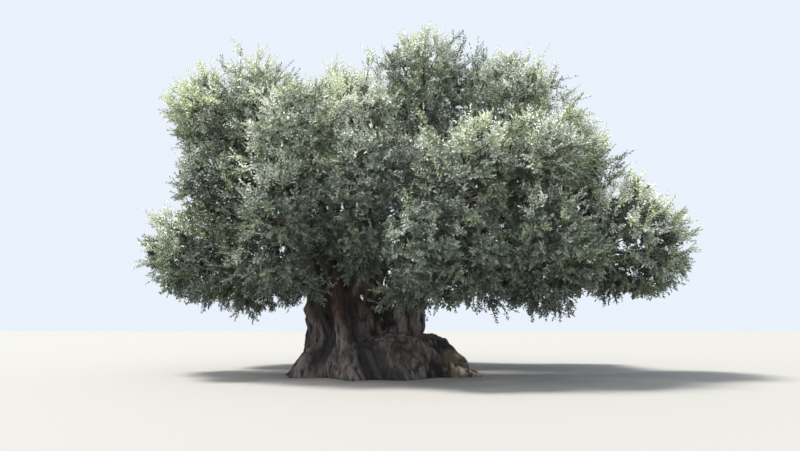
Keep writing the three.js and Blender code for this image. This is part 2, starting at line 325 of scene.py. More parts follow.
# Sprays beyond the solid of their mass, or where sky showed through: middle and half sizes.
OUTLYING = {
    "front_low": [((0.55, -3.2, 2.2), (0.85, 0.5, 0.34)), ((2.95, -3.2, 2.2), (0.55, 0.6, 0.4))],
    "left_inner_skirt": [((-2.0, -2.3, 2.45), (0.6, 0.4, 0.32))],
    "left_far_low": [((-7.05, 0.7, 4.85), (0.85, 0.7, 0.36))],
    "left_middle": [((-5.6, 0.6, 5.8), (0.7, 0.9, 0.8)), ((-4.3, 0.3, 5.9), (0.5, 0.6, 0.9))],
    "left_outer_top": [
        ((-6.9, 0.4, 8.6), (0.6, 0.6, 0.4)),
        ((-7.0, 0.4, 9.05), (0.45, 0.6, 0.4)),
        ((-6.2, 0.4, 9.7), (0.45, 0.6, 0.4)),
    ],
    "left_inner_top": [
        ((-4.15, -0.3, 8.7), (0.5, 0.7, 0.5)),
        ((-6.0, 0.4, 8.95), (0.5, 0.6, 0.4)),
        ((-5.4, 0.6, 8.1), (0.5, 0.6, 0.5)),
    ],
    "front_left_top": [((-2.7, -0.2, 8.35), (0.8, 0.7, 0.45))],
    "centre_top": [
        ((-1.75, 0.8, 9.25), (0.45, 0.5, 0.4)),
        ((-1.65, -0.1, 9.65), (0.35, 0.5, 0.4)),
        ((-1.2, -1.5, 8.45), (0.8, 0.5, 0.45)),
        ((-1.25, -2.1, 7.6), (0.65, 0.5, 0.65)),
        ((0.6, 0.8, 9.2), (0.8, 0.6, 0.45)),
    ],
    "crown_top": [
        ((1.8, 0.6, 10.85), (0.5, 0.5, 0.4)),
        ((2.8, 0.6, 9.9), (0.6, 0.6, 0.45)),
        ((1.8, 0.3, 9.1), (0.5, 0.6, 0.45)),
    ],
    "right_top": [
        ((5.0, 0.6, 9.6), (0.6, 0.6, 0.4)),
        ((3.8, 0.2, 8.4), (0.5, 0.6, 0.45)),
        ((4.3, 0.0, 6.9), (0.5, 0.5, 0.5)),
        ((5.15, 0.5, 9.0), (0.45, 0.6, 0.45)),
    ],
    "back_left_low": [((-2.4, 2.2, 3.6), (0.9, 0.6, 0.8)), ((-2.5, 4.6, 3.1), (0.7, 0.9, 0.6))],
    "back_middle": [
        ((-0.9, 3.2, 3.9), (1.1, 0.6, 0.9)),
        ((-2.2, 5.0, 4.9), (0.9, 0.9, 0.9)),
        ((3.0, 5.2, 4.8), (0.9, 0.9, 0.9)),
        ((0.2, 5.0, 6.5), (1.6, 0.9, 0.8)),
    ],
    "back_right_low": [((3.1, 4.7, 3.1), (0.6, 0.9, 0.6))],
    "front_middle": [
        ((-1.25, -1.6, 4.0), (0.6, 0.6, 0.55)),
        ((-0.6, -2.6, 3.1), (0.55, 0.5, 0.5)),
        ((0.1, -1.9, 6.6), (0.5, 0.5, 0.5)),
    ],
    "front_high": [((1.9, -1.5, 6.25), (1.1, 0.8, 0.5)), ((0.85, -0.9, 6.6), (0.6, 0.5, 0.5))],
    "front_right_high": [((5.6, -1.9, 5.9), (0.5, 0.6, 0.45))],
    "front_right_low": [((3.6, -0.6, 4.6), (0.6, 0.6, 0.6))],
    "left_skirt": [((-5.9, -0.2, 4.2), (0.7, 0.6, 0.5))],
    "right_low": [((6.75, 0.3, 6.2), (0.55, 0.6, 0.5))],
    "right_upper": [((6.7, 0.3, 6.9), (0.5, 0.6, 0.6))],
}

# Leaf colours in two families, from dark to light, with the share of its family that each gets.
# Which step a leaf takes is partly its own tone and partly painted light and shade.
COOL_LEAVES = {
    "leaves_shade": ((97, 106, 97), 0.24),
    "leaves_sage": ((122, 132, 118), 0.28),
    "leaves_grey": ((162, 170, 157), 0.26),
    "leaves_silver_lit": ((216, 221, 207), 0.22),
}
WARM_LEAVES = {
    "leaves_deep": ((100, 110, 89), 0.26),
    "leaves_olive": ((126, 138, 110), 0.3),
    "leaves_green": ((164, 174, 144), 0.26),
    "leaves_fresh_lit": ((212, 219, 187), 0.18),
}
LEAF_ROUGHNESS = 0.58
INNER_LOW_COLOUR = (107, 116, 103)
# Painted light: the inner leaves high up are painted paler, for the light that reaches into the
# crown there.
INNER_LIT_COLOUR = (172, 182, 160)
INNER_HIGH = 6.0  # metres above the ground

# Shared helpers


def linear(colour):
    """A display colour, 0 to 255, as the linear colour that Blender uses."""
    c = np.array(colour) / 255
    return tuple(np.where(c <= 0.04045, c / 12.92, ((c + 0.055) / 1.055) ** 2.4)) + (1.0,)


def unit(vectors):
    return vectors / np.maximum(np.linalg.norm(vectors, axis=-1, keepdims=True), 1e-9)


def random_units(rng, *shape):
    return unit(rng.normal(size=(*shape, 3)))


def across(directions, rng):
    """A random direction at right angles to each direction."""
    other = random_units(rng, *directions.shape[:-1])
    return unit(np.cross(directions, other))


def spread_from(points, middle, half):
    """How far each point is from the middle of an ellipsoid, where 1 is on its surface."""
    return np.linalg.norm((points - np.array(middle)) / np.array(half), axis=1)


def joined(groups):
    """Arrays that come in groups, each joined to its fellows."""
    return [np.concatenate(fellows) for fellows in zip(*groups)]


def joined_meshes(meshes):
    """The vertices and faces of several meshes as those of one."""
    parts, count = [], 0
    for points, faces in meshes:
        parts.append((points, faces + count))
        count += len(points)
    return joined(parts)


def share_inside(points, middle, half, edge):
    """1 about the middle of an ellipsoid and 0 at its surface. A high edge falls steeply."""
    return np.clip(edge - edge * spread_from(points, middle, half), 0, 1)


def amount_at(points, places):
    """The sum of the amounts of the soft ellipsoids that each point is in."""
    return sum(most * share_inside(points, *place, PLACE_EDGE) for *place, most in places)


def scattered(cells, seed):
    """A random number from 0 to 1 for each whole-numbered cell, by mixing its bits."""
    mixed = (cells.astype(np.uint64) * HASH_PRIMES).sum(axis=1, dtype=np.uint64)
    mixed = (mixed + np.uint64(seed) * HASH_SEED_STEP) & HASH_MASK
    for shift, factor in HASH_ROUNDS:
        mixed = (mixed ^ (mixed >> shift)) * factor & HASH_MASK
    return ((mixed ^ (mixed >> np.uint64(16))) & np.uint64(0xFFFF)) / 65535.0


def smooth_noise(points, seed):
    """Smooth random numbers from 0 to 1 that change over about one unit of distance."""
    cell = np.floor(points).astype(np.int64)
    part = points - cell
    part = part * part * (3 - 2 * part)
    total = np.zeros(len(points))
    for corner in np.ndindex(2, 2, 2):
        weight = np.prod(np.where(corner, part, 1 - part), axis=1)
        total += weight * scattered(cell + np.array(corner), seed)
    return total


def numbers_of(items, name, count, kind):
    """One property of all of a mesh's items, in rows of that count of numbers."""
    numbers = np.empty(len(items) * NUMBERS_EACH[name], kind)
    items.foreach_get(name, numbers)
    return numbers.reshape(-1, count)


def node_mesh(name):
    """The vertices and triangles of a CAD node."""
    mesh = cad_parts[name].data
    mesh.calc_loop_triangles()
    points = numbers_of(mesh.vertices, "co", 3, float)
    return points, numbers_of(mesh.loop_triangles, "vertices", 3, np.int64)


def tree_of(points, triangles):
    """A search tree of a mesh, for nearest points and rays."""
    return BVHTree.FromPolygons([Vector(p) for p in points], triangles.tolist())


def mesh_object(name, points, faces):
    """A new object from vertices and faces that all have the same number of corners."""
    mesh = bpy.data.meshes.new(name)
    corners = faces.shape[1]
    mesh.vertices.add(len(points))
    mesh.vertices.foreach_set("co", np.ascontiguousarray(points, np.float32).ravel())
    mesh.loops.add(faces.size)
    mesh.loops.foreach_set("vertex_index", np.ascontiguousarray(faces, np.int32).ravel())
    mesh.polygons.add(len(faces))
    mesh.polygons.foreach_set("loop_start", np.arange(0, faces.size, corners, dtype=np.int32))
    mesh.update(calc_edges=True)
    made = bpy.data.objects.new(name, mesh)
    bpy.context.scene.collection.objects.link(made)
    return made


def modified(piece, kind, **settings):
    """The mesh that a piece would have with a modifier."""
    modifier = piece.modifiers.new(kind, kind)
    for name, value in settings.items():
        setattr(modifier, name, value)
    shaped = piece.evaluated_get(bpy.context.evaluated_depsgraph_get())
    mesh = bpy.data.meshes.new_from_object(shaped)
    piece.modifiers.remove(modifier)
    return mesh


def finish_piece(piece, material, nodes):
    """Gives a piece its material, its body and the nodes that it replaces."""
    piece.data.materials.append(material)
    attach(piece, "root")
    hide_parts(*nodes)


def new_material(name, roughness):
    """A new material and its shader."""
    material = bpy.data.materials.new(name)
    material.use_nodes = True
    shader = material.node_tree.nodes["Principled BSDF"]
    shader.inputs["Roughness"].default_value = roughness
    return material, shader


def plain_material(name, colour, roughness):
    """A material of one base colour, for the many small pieces whose colours are dealt out."""
    material, shader = new_material(name, roughness)
    shader.inputs["Base Color"].default_value = linear(colour)
    return material


# Building the bark

WOOD = sorted(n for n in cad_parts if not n.startswith("foliage_"))


def welded_wood():
    """The trunk and the boughs as one mesh of even faces. Returns its vertices and quads."""
    rough = mesh_object("rough_wood", *joined_meshes(node_mesh(name) for name in WOOD))
    mesh = modified(rough, "REMESH", mode="VOXEL", voxel_size=BARK_VOXEL)
    points = numbers_of(mesh.vertices, "co", 3, float)
    quads = numbers_of(mesh.loops, "vertex_index", 4, np.int64)
    bpy.data.objects.remove(rough)
    bpy.data.meshes.remove(mesh)
    return points, quads


def sum_at(indices, vectors, count):
    """The sum of the vectors that go to each of count indices."""
    return np.stack([np.bincount(indices, vectors[:, k], count) for k in range(3)], axis=1)


def smoothed(points, quads, times):
    """Rounds off the facets without making the limbs thinner."""
    pairs = np.concatenate([quads[:, [i, (i + 1) % 4]] for i in range(4)])
    pairs = np.unique(np.sort(pairs, axis=1), axis=0)
    both = np.concatenate([pairs, pairs[:, ::-1]])
    valence = np.bincount(both[:, 0], minlength=len(points))[:, None]
    for step in SMOOTHING_STEPS * times:
        total = sum_at(both[:, 0], points[both[:, 1]], len(points))
        points = points + step * (total / valence - points)
    return points


def vertex_normals(points, quads):
    """The way out of the surface at each vertex."""
    a, b, c, d = (points[quads[:, i]] for i in range(4))
    faces = np.cross(c - a, d - b)
    return unit(sum_at(quads.ravel(), np.repeat(faces, 4, axis=0), len(points)))


def long_axis(points):
    """The direction in which a limb's points are spread the furthest."""
    spread = points - points.mean(axis=0)
    return np.linalg.eigh(spread.T @ spread)[1][:, 2]


def nearness_to_wood(points):
    """For each piece of wood, its share in each point's relief, and the nearest one."""
    distances = np.full((len(points), len(WOOD)), FAR_OFF)
    for k, name in enumerate(WOOD):
        corners, faces = node_mesh(name)
        low, high = corners.min(axis=0) - LIMB_REACH, corners.max(axis=0) + LIMB_REACH
        close = ((points > low) & (points < high)).all(axis=1)
        tree = tree_of(corners, faces)
        distances[close, k] = [tree.find_nearest(Vector(p))[3] for p in points[close]]
    shares = np.exp(-((distances - distances.min(axis=1, keepdims=True)) / LIMB_BLEND))
    shares[shares < LEAST_SHARE] = 0
    return shares / shares.sum(axis=1, keepdims=True), distances.argmin(axis=1)


def relief_along(points, axis, layers, seed):
    """Sharp valleys between rounded ridges that run along an axis. Returns depth in metres."""
    slow = points - (1 - ALONG_GRAIN) * np.outer(points @ axis, axis)
    sway = np.stack([smooth_noise(points * SWAY_PACE, seed + k) for k in range(3)], axis=1) - 0.5
    slow = slow + SWAY * sway
    depth = np.zeros(len(points))
    for k, (pace, height) in enumerate(layers):
        noise = smooth_noise(slow * pace + LAYER_SHIFT * k, seed + 10 + k)
        depth += height * (np.abs(2 * noise - 1) ** RIDGE_POWER - RIDGE_MIDDLE)
    return depth


def twisted(points):
    """Turns points about the trunk's axis by their height, so that its furrows wind round it."""
    x, y, z = points.T
    cos, sin = np.cos(TWIST * z), np.sin(TWIST * z)
    return np.stack([x * cos - y * sin, x * sin + y * cos, z], axis=1)


def blobs(points, places):
    """How far inside any of some soft ellipsoids each point is, from 0 to 1."""
    return np.max([share_inside(points, *place, PATCH_EDGE) for place in places], axis=0)


def ragged(share, points, seed):
    """Breaks up the edge of a patch on the bark into upright streaks."""
    noise = smooth_noise(points * STREAK_PACE, seed)
    return np.clip(STREAK_SHARE * share - STREAK_NOISE * noise, 0, 1)


def wood_relief(points):
    """How far the relief stands out at each point of the wood, and which node is nearest."""
    shares, nearest = nearness_to_wood(points)
    depth = np.zeros(len(points))
    for k, name in enumerate(WOOD):
        mine = shares[:, k] > 0
        trunk = name == "trunk"
        axis = UP if trunk else long_axis(node_mesh(name)[0])
        layers = TRUNK_RELIEF if trunk else BOUGH_RELIEF
        spots = twisted(points[mine]) if trunk else points[mine]
        seed = FIRST_WOOD_SEED + 20 * k
        depth[mine] += shares[mine, k] * relief_along(spots, axis, layers, seed)
    return depth, nearest


def add_burls(depth, points, rng):
    """Adds round swellings to the relief, low on the trunk."""
    bottom, top = BURL_HEIGHTS
    low = np.flatnonzero((points[:, 2] < top) & (points[:, 2] > bottom))
    for centre in points[rng.choice(low, BURLS)]:
        size = rng.uniform(*BURL_SIZE)
        away = np.linalg.norm(points - centre, axis=1) / size
        depth += BURL_BULGE * size * np.exp(-(away**2)) * rng.uniform(*BURL_STRENGTH)


def bark_shape():
    """The wood's vertices with the bark's relief, its quads, its tints and which node each is."""
    points, quads = welded_wood()
    points = smoothed(points, quads, BARK_SMOOTHINGS)
    normals = vertex_normals(points, quads)
    depth, nearest = wood_relief(points)
    add_burls(depth, points, np.random.default_rng(SEED))
    facing_front = normals[:, 1] < HOLLOW["most_y"]
    hollow = blobs(points, [(HOLLOW["centre"], HOLLOW["half"])]) * facing_front
    # Painted shade: the hollow's bark takes the darkest furrow colour.
    relief = np.clip(0.5 + depth / RELIEF_SPAN, 0, 1) * (1 - hollow)
    depth -= HOLLOW["depth"] * hollow
    shaped = points + normals * depth[:, None]
    shaped[:, 2] = np.maximum(shaped[:, 2], 0)
    shaped[points[:, 2] < FLAT_FOOT, 2] = 0
    heart = ragged(blobs(points, BARE_HEARTWOOD), points, SEED + 2)
    pale = ragged(blobs(points, WEATHERED_WOOD), points, SEED + 3)
    tints = np.stack([relief, heart, pale, np.ones(len(points))], axis=1)
    return shaped, quads, tints, nearest


def bark_material():
    """Grey-brown bark, dark in the furrows partly by its own colour and partly by painted shade,
    with reddish bare heartwood and pale weathered wood.
    """
    material, shader = new_material("bark", ROUGH)
    nodes, links = material.node_tree.nodes, material.node_tree.links

    def add(kind, inputs, **settings):
        """A new shader node. Each of its inputs is set to a value or linked to an output."""
        node = nodes.new("ShaderNode" + kind)
        for name, value in settings.items():
            setattr(node, name, value)
        for place, value in inputs.items():
            if isinstance(value, bpy.types.NodeSocket):
                links.new(value, node.inputs[place])
            else:
                node.inputs[place].default_value = value
        return node.outputs

    def mix(first, second, share, name):
        """A mix of two colours or of the outputs that give them."""
        first, second = (linear(c) if isinstance(c, tuple) else c for c in (first, second))
        inputs = {MIX_SHARE: share, MIX_FIRST: first, MIX_SECOND: second}
        return add("Mix", inputs, data_type="RGBA", label=name)[MIX_RESULT]

    def ramp(value, low, high):
        """A smooth rise from 0 at low to 1 at high."""
        inputs = {"Value": value, "From Min": low, "From Max": high}
        return add("MapRange", inputs, interpolation_type="SMOOTHSTEP")["Result"]

    def grain(scale, detail, squeeze):
        """Noise that is drawn out along the trunk."""
        place = add("TexCoord", {})["Object"]
        place = add("Mapping", {"Vector": place, "Scale": (1, 1, squeeze)})["Vector"]
        inputs = {"Vector": place, "Scale": scale, "Detail": detail, "Roughness": GRAIN_ROUGHNESS}
        return add("TexNoise", inputs)["Fac"]

    tint = add("Attribute", {}, attribute_name="tint")["Color"]
    relief, heart, pale = add("SeparateColor", {"Color": tint})
    coarse = grain(2.2, 4, 0.5)
    fine = grain(18, 8, 0.08)
    fissures = ramp(grain(7, 8, 0.13), 0.5, 0.66)
    # Painted shade in part: the furrows take the dark end of each pair and the ridges the pale end.
    bark = mix(*BARK_COLOURS, ramp(relief, 0.12, 0.85), "furrow to ridge")
    bark = mix(bark, BROWN_PATCH_COLOUR, ramp(coarse, 0.48, 0.75), "brown patches")
    wood = mix(*HEARTWOOD_COLOURS, ramp(relief, 0.1, 0.9), "heartwood")
    bark = mix(bark, wood, heart, "bare heartwood")
    wood = mix(*WEATHERED_COLOURS, ramp(relief, 0.2, 0.9), "weathered")
    bark = mix(bark, wood, pale, "weathered wood")
    bark = mix(bark, FISSURE_COLOUR, fissures, "fissures")
    bark = mix(bark, CRACK_COLOUR, ramp(fine, 0.54, 0.8), "fine cracks")
    smoothest, roughest = BARK_ROUGHNESS
    rough = add("MapRange", {"Value": fine, "To Min": smoothest, "To Max": roughest})["Result"]
    height = add("Math", {0: fine, 1: fissures}, operation="SUBTRACT")["Value"]
    bump = {"Height": height, "Strength": BUMP_STRENGTH, "Distance": BUMP_DEPTH}
    links.new(bark, shader.inputs["Base Color"])
    links.new(rough, shader.inputs["Roughness"])
    links.new(add("Bump", bump)["Normal"], shader.inputs["Normal"])
    return material


def build_bark():
    """Cuts the welded bark into the trunk's piece and the boughs' piece, which is thinned out."""
    points, quads, tints, nearest = bark_shape()
    of_trunk = (nearest[quads] == WOOD.index("trunk")).sum(axis=1) >= 2
    material = bark_material()
    boughs = [name for name in WOOD if name != "trunk"]
    parts = (("trunk_bark", of_trunk, ["trunk"]), ("bough_bark", ~of_trunk, boughs))
    for name, mine, replaced in parts:
        used, faces = np.unique(quads[mine], return_inverse=True)
        piece = mesh_object(name, points[used], faces.reshape(-1, 4))
        colours = piece.data.color_attributes.new("tint", "FLOAT_COLOR", "POINT")
        colours.data.foreach_set("color", tints[used].astype(np.float32).ravel())
        if name == "bough_bark":
            piece.data = modified(piece, "DECIMATE", ratio=BOUGH_FACES_KEPT)
        piece.data.shade_smooth()
        finish_piece(piece, material, replaced)


# Building the foliage

MASSES = sorted(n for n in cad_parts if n.startswith("foliage_"))
NEIGHBOUR_CELLS = [(a - 1, b - 1, c - 1) for a, b, c in np.ndindex(3, 3, 3)]


def surface_points(rng, corners, triangles, per_square_metre):
    """Random points all over a surface, with their faces' normals."""
    a, b, c = (corners[triangles[:, i]] for i in range(3))
    normals = np.cross(b - a, c - a)
    areas = np.linalg.norm(normals, axis=1) / 2
    count = int(areas.sum() * per_square_metre)
    face = rng.choice(len(areas), count, p=areas / areas.sum())
    u, v = rng.random((2, count, 1))
    u, v = np.where(u + v > 1, 1 - u, u), np.where(u + v > 1, 1 - v, v)
    return a[face] + u * (b[face] - a[face]) + v * (c[face] - a[face]), unit(normals[face])


def thinned(points, spacing):
    """The indices of points of which no two are nearer to each other than the spacing."""
    kept, cells = [], {}
    for i, (x, y, z) in enumerate(np.floor(points / spacing).astype(int).tolist()):
        near = [cells.get((x + a, y + b, z + c), ()) for a, b, c in NEIGHBOUR_CELLS]
        around = [j for cell in near for j in cell]
        if around and (((points[around] - points[i]) ** 2).sum(axis=1) < spacing**2).any():
            continue
        kept.append(i)
        cells.setdefault((x, y, z), []).append(i)
    return np.array(kept)


def layer(points, depth, limits, spacing):
    """The indices of evenly spaced points whose depth lies between two limits."""
    mine = np.flatnonzero((depth > limits[0]) & (depth < limits[1]))
    return mine[thinned(points[mine], spacing)]


class Mass:
    """One mass of foliage: its solid, with its box and its search tree."""

    def __init__(self, node):
        self.name = node.removeprefix("foliage_")
        self.corners, self.triangles = node_mesh(node)
        self.tree = tree_of(self.corners, self.triangles)
        self.low, self.high = self.corners.min(axis=0), self.corners.max(axis=0)
        self.centre, self.half = (self.low + self.high) / 2, (self.high - self.low) / 2

    def distance(self, points, reach):
        """How far each point is from this mass's surface, negative inside, or reach if further."""
        far = np.full(len(points), reach)
        close = ((points > self.low - reach) & (points < self.high + reach)).all(axis=1)
        for i in np.flatnonzero(close):
            point = Vector(points[i])
            place, normal, _, away = self.tree.find_nearest(point, reach)
            if place is not None:
                far[i] = away if (point - place).dot(normal) > 0 else -away
        return far

    def fill(self, per_cubic_metre, rng):
        """Random points inside the mass."""
        count = int(np.prod(self.high - self.low) * per_cubic_metre)
        points = rng.uniform(self.low, self.high, (count, 3))
        inside = np.zeros(count, bool)
        for i, point in enumerate(points):
            place, normal, _, _ = self.tree.find_nearest(Vector(point))
            inside[i] = (Vector(point) - place).dot(normal) < 0
        return points[inside]


class Crown:
    """The masses together, with points all over the surface that they show to the outside."""

    def __init__(self, rng):
        self.masses = [Mass(n) for n in MASSES]
        skin = []
        for mass in self.masses:
            points, facing = surface_points(rng, mass.corners, mass.triangles, SKIN_DENSITY)
            kept = thinned(points, SKIN_SPACING)
            points, facing = points[kept], facing[kept]
            shown = self.to_next(mass, points, SHARED_SKIN) >= SHARED_SKIN
            skin.append((points[shown], facing[shown]))
        self.skin, self.normals = joined(skin)
        self.skin_tree = KDTree(len(self.skin))
        for i, point in enumerate(self.skin):
            self.skin_tree.insert(point, i)
        self.skin_tree.balance()
        self.tree = tree_of(*joined_meshes((m.corners, m.triangles) for m in self.masses))
        # The numbers of the lobes come from the shuffled points but are used on the unshuffled
        # ones, so most lobes lie on the masses that come first by name, at the back left.
        lobes = thinned(self.skin[rng.permutation(len(self.skin))], LOBE_SPACING)
        self.lobes = self.skin[lobes]
        self.heights = rng.uniform(*LOBE_HEIGHT, len(lobes))
        self.fill_gaps(rng)

    def to_next(self, mass, points, reach):
        """How far each point of a mass is from the nearest other mass, up to reach."""
        others = [np.abs(m.distance(points, reach)) for m in self.masses if m is not mass]
        return np.min(others, axis=0)

    def depths(self, points):
        """How deep each point lies below the crown's surface, and the way out from there."""
        depth, facing = np.empty(len(points)), np.empty((len(points), 3))
        for i, point in enumerate(points):
            found = self.skin_tree.find_n(point, SKIN_NEIGHBOURS)
            index = [f[1] for f in found]
            depth[i] = found[0][2]
            outward = self.skin[index].mean(axis=0) - point
            facing[i] = self.normals[index].sum(axis=0) + OUTWARD_PULL * outward
        return depth, unit(facing)

    def swell(self, points):
        """How far the surface swells at each point, and the way from the nearest lobe."""
        gaps = points[:, None] - self.lobes[None]
        away = np.linalg.norm(gaps, axis=2)
        mine = away.argmin(axis=1)
        rows = np.arange(len(points))
        share = away[rows, mine] / LOBE_REACH
        swell = np.maximum(self.heights[mine] * (LOBE_CREST - LOBE_CREST * share**2), -LOBE_DIP)
        return swell, gaps[rows, mine] / LOBE_REACH

    def is_clear(self, place, way, sight):
        """Whether a sight line of this length meets no foliage."""
        return self.tree.ray_cast(Vector(place), Vector(way), sight)[0] is None

    def openness(self, points, facing, rng):
        """The share of the ways out from each point that meet no foliage."""
        clear = np.zeros(len(points))
        for _ in range(OPEN_RAYS):
            ways = unit(facing + OPEN_SPREAD * random_units(rng, len(points)))
            for i, (place, way) in enumerate(zip(points + OPEN_START * facing, ways)):
                if self.is_clear(place, way, OPEN_SIGHT):
                    clear[i] += 1 / OPEN_RAYS
        return clear

    def fill_gaps(self, rng):
        """Finds hubs that close the narrow gaps between masses.

        Keeps their places, the open way out of each, how open it is and its nearest mass."""
        low, high = self.skin.min(axis=0), self.skin.max(axis=0)
        points = rng.uniform(low, high, (int(np.prod(high - low) * GAP_DENSITY), 3))
        gaps = np.stack([m.distance(points, GAP_REACH) for m in self.masses])
        ordered = np.sort(gaps, axis=0)
        between = (ordered[0] > GAP_CLEARANCE) & (ordered[1] < GAP_REACH)
        points, owner = points[between], gaps[:, between].argmin(axis=0)
        kept = thinned(points, GAP_SPACING)
        points, owner = points[kept], owner[kept]
        rays = random_units(rng, GAP_RAYS)
        clear = np.array([[self.is_clear(p, way, GAP_SIGHT) for way in rays] for p in points], float)
        open_share = clear.mean(axis=1)
        held = open_share < GAP_OPEN
        self.gap_hubs, self.gap_owner = points[held], owner[held]
        self.gap_ways = unit((clear @ rays)[held] + GAP_SPREAD * random_units(rng, held.sum()))
        self.gap_light = open_share[held]

    def surface_hubs(self, mass, points, ways, rng):
        """Thins out a mass's hubs where it is dark, and swells or sinks those that are left.

        Returns their places, the way each faces, its openness and how far out it stands, less the
        painted shade of the creases."""
        light = self.openness(points, ways, rng)
        kept = rng.random(len(points)) < np.clip(DARK_KEPT + LIT_KEPT * light, 0, 1)
        points, ways, light = points[kept], ways[kept], light[kept]
        swell, outward = self.swell(points)
        crease = 1 - self.to_next(mass, points, CREASE_REACH) / CREASE_REACH
        points = points + ways * (swell - CREASE_DEPTH * crease)[:, None]
        # Painted light on the lobes' crests, painted shade in the creases.
        standing_light = np.clip(LEVEL_STANDING + SWELL_STANDING * swell, 0, 1) - CREASE_SHADE * crease
        return points, unit(ways + OUTWARD_TURN * outward), light, standing_light

    def sites(self, mass, rng):
        """A mass's hubs near the crown's surface, and the deeper ones that keep out the sky.

        Returns the outer hubs' places, facings, openness and how far out they stand, less painted
        shade in creases and gaps, then the places and facings of the inner ones."""
        points = mass.fill(FILL_DENSITY, rng)
        depth, facing = self.depths(points)
        if mass.name in BARE_TOPS:
            kept = spread_from(points, *BARE_TOPS[mass.name]) > 1
            points, depth, facing = points[kept], depth[kept], facing[kept]
        near = layer(points, depth, TUFT_DEPTH, TUFT_SPACING)
        surface = self.surface_hubs(mass, points[near], facing[near], rng)
        outlying = outlying_hubs(mass, rng)
        mine = self.gap_owner == self.masses.index(mass)
        in_gaps = [kind[mine] for kind in (self.gap_hubs, self.gap_ways, self.gap_light)]
        # Painted shade: the hubs in the gaps get dark leaves.
        in_gaps.append(np.full(mine.sum(), GAP_PAINTED_SHADE))
        deep = layer(points, depth, INNER_DEPTH, INNER_SPACING)
        return *joined([surface, outlying, in_gaps]), points[deep], facing[deep]


def outlying_hubs(mass, rng):
    """The hubs of a mass's outlying sprays, described as those near its surface are."""
    places, ways = np.empty((0, 3)), np.empty((0, 3))
    for middle, half in OUTLYING.get(mass.name, ()):
        around = random_units(rng, OUTLYING_TRIES) * rng.random((OUTLYING_TRIES, 1)) ** (1 / 3)
        spots = np.array(middle) + around * half
        kept = thinned(spots, TUFT_SPACING)
        places = np.concatenate([places, spots[kept]])
        ways = np.concatenate([ways, unit(around[kept] + unit(np.array(middle) - mass.centre))])
    count = len(places)
    return places, ways, np.full(count, OUTLYING_LIGHT), np.full(count, LEVEL_STANDING)


class Limbs:
    """All the thinner limbs. Each has a start, an end, a first heading and a radius at each end."""

    def __init__(self):
        self.curves = []

    def grow(self, start, heading, hubs, root_radius, rng):
        """Forks from the start until each limb reaches one hub. Returns each hub's direction."""
        arrivals = np.zeros_like(hubs)
        waiting = [(start, heading, np.arange(len(hubs)), root_radius)]
        while waiting:
            at, heading, mine, radius = waiting.pop()
            spread = hubs[mine] - hubs[mine].mean(axis=0)
            axis = np.linalg.eigh(spread.T @ spread)[1][:, 2]
            order = mine[np.argsort(spread @ axis)]
            cut = int(np.clip(round(len(mine) * rng.uniform(*SPLIT_RANGE)), 1, len(mine) - 1))
            for part in (order[:cut], order[cut:]):
                goal = hubs[part].mean(axis=0)
                way = goal - at
                single = len(part) == 1
                fork = goal if single else at + way * rng.uniform(*FORK_RANGE)
                if not single:
                    fork = fork + FORK_WANDER * np.linalg.norm(way) * random_units(rng)
                thin = min(radius * LIMB_TAPER, TWIG_RADIUS * len(part) ** 0.5)
                self.curves.append((at, fork, heading, (min(radius, thin * LIMB_FOOT), thin)))
                arrival = unit(LIMB_BEND * heading + unit(fork - at))
                if single:
                    arrivals[part[0]] = arrival
                else:
                    waiting.append((fork, arrival, part, thin))
        return arrivals

    def mesh(self):
        """Vertices and triangles of all the limbs, with more sides on the thicker ones."""
        measures = [np.array(measure) for measure in zip(*self.curves)]
        kinds = np.digitize(measures[-1][:, 0], LIMB_KINDS)
        return joined_meshes(
            tubes(*(measure[kinds == kind] for measure in measures), *shape)
            for kind, shape in enumerate(LIMB_SHAPES)
        )


def tubes(starts, ends, headings, radii, sides, rows):
    """Curved tapering tubes, all with the same number of sides and rows."""
    chord = ends - starts
    length = np.linalg.norm(chord, axis=1, keepdims=True)
    t = np.linspace(0, 1, rows + 1)[:, None]
    first, last = headings * length, unit(LIMB_BEND * headings + unit(chord)) * length
    line = (
        (2 * t**3 - 3 * t**2 + 1) * starts[:, None]
        + (t**3 - 2 * t**2 + t) * first[:, None]
        + (3 * t**2 - 2 * t**3) * ends[:, None]
        + (t**3 - t**2) * last[:, None]
    )
    along = unit(chord)
    steep = np.abs(along[:, 2:]) > STEEP
    side = unit(np.cross(along, np.where(steep, [[1.0, 0, 0]], [[0, 0, 1.0]])))
    other = np.cross(along, side)
    turn = (2 * np.pi * np.arange(sides) / sides)[:, None]
    ring = np.cos(turn) * side[:, None, None] + np.sin(turn) * other[:, None, None]
    width = radii[:, :1] + (radii[:, 1:] - radii[:, :1]) * t[:, 0]
    points = line[:, :, None] + ring * width[:, :, None, None]
    corner = np.arange(rows * sides)
    row, k = corner // sides, corner % sides
    a, b = row * sides + k, row * sides + (k + 1) % sides
    halves = np.stack([a, b, b + sides], axis=1), np.stack([a, b + sides, a + sides], axis=1)
    first_corner = np.arange(len(starts)) * (rows + 1) * sides
    faces = np.concatenate(halves) + first_corner[:, None, None]
    return points.reshape(-1, 3), faces.reshape(-1, 3)


def shoots_at(hubs, facing, arrivals, count, length, spread, lift, rng):
    """Leafy shoots that fan out from each hub: their starts, directions and lengths, and hubs."""
    which = np.repeat(np.arange(len(hubs)), count)
    ways = facing[which] + TWIG_PULL * arrivals[which] + spread * random_units(rng, len(which))
    ways = unit(ways + np.broadcast_to(lift, len(hubs))[which, None] * UP)
    starts = hubs[which] - TWIG_LENGTH * rng.random((len(which), 1)) * arrivals[which]
    lengths = np.broadcast_to(length, len(hubs))[which] * rng.uniform(*SHOOT_RANGE, len(which))
    return starts, ways, lengths, which


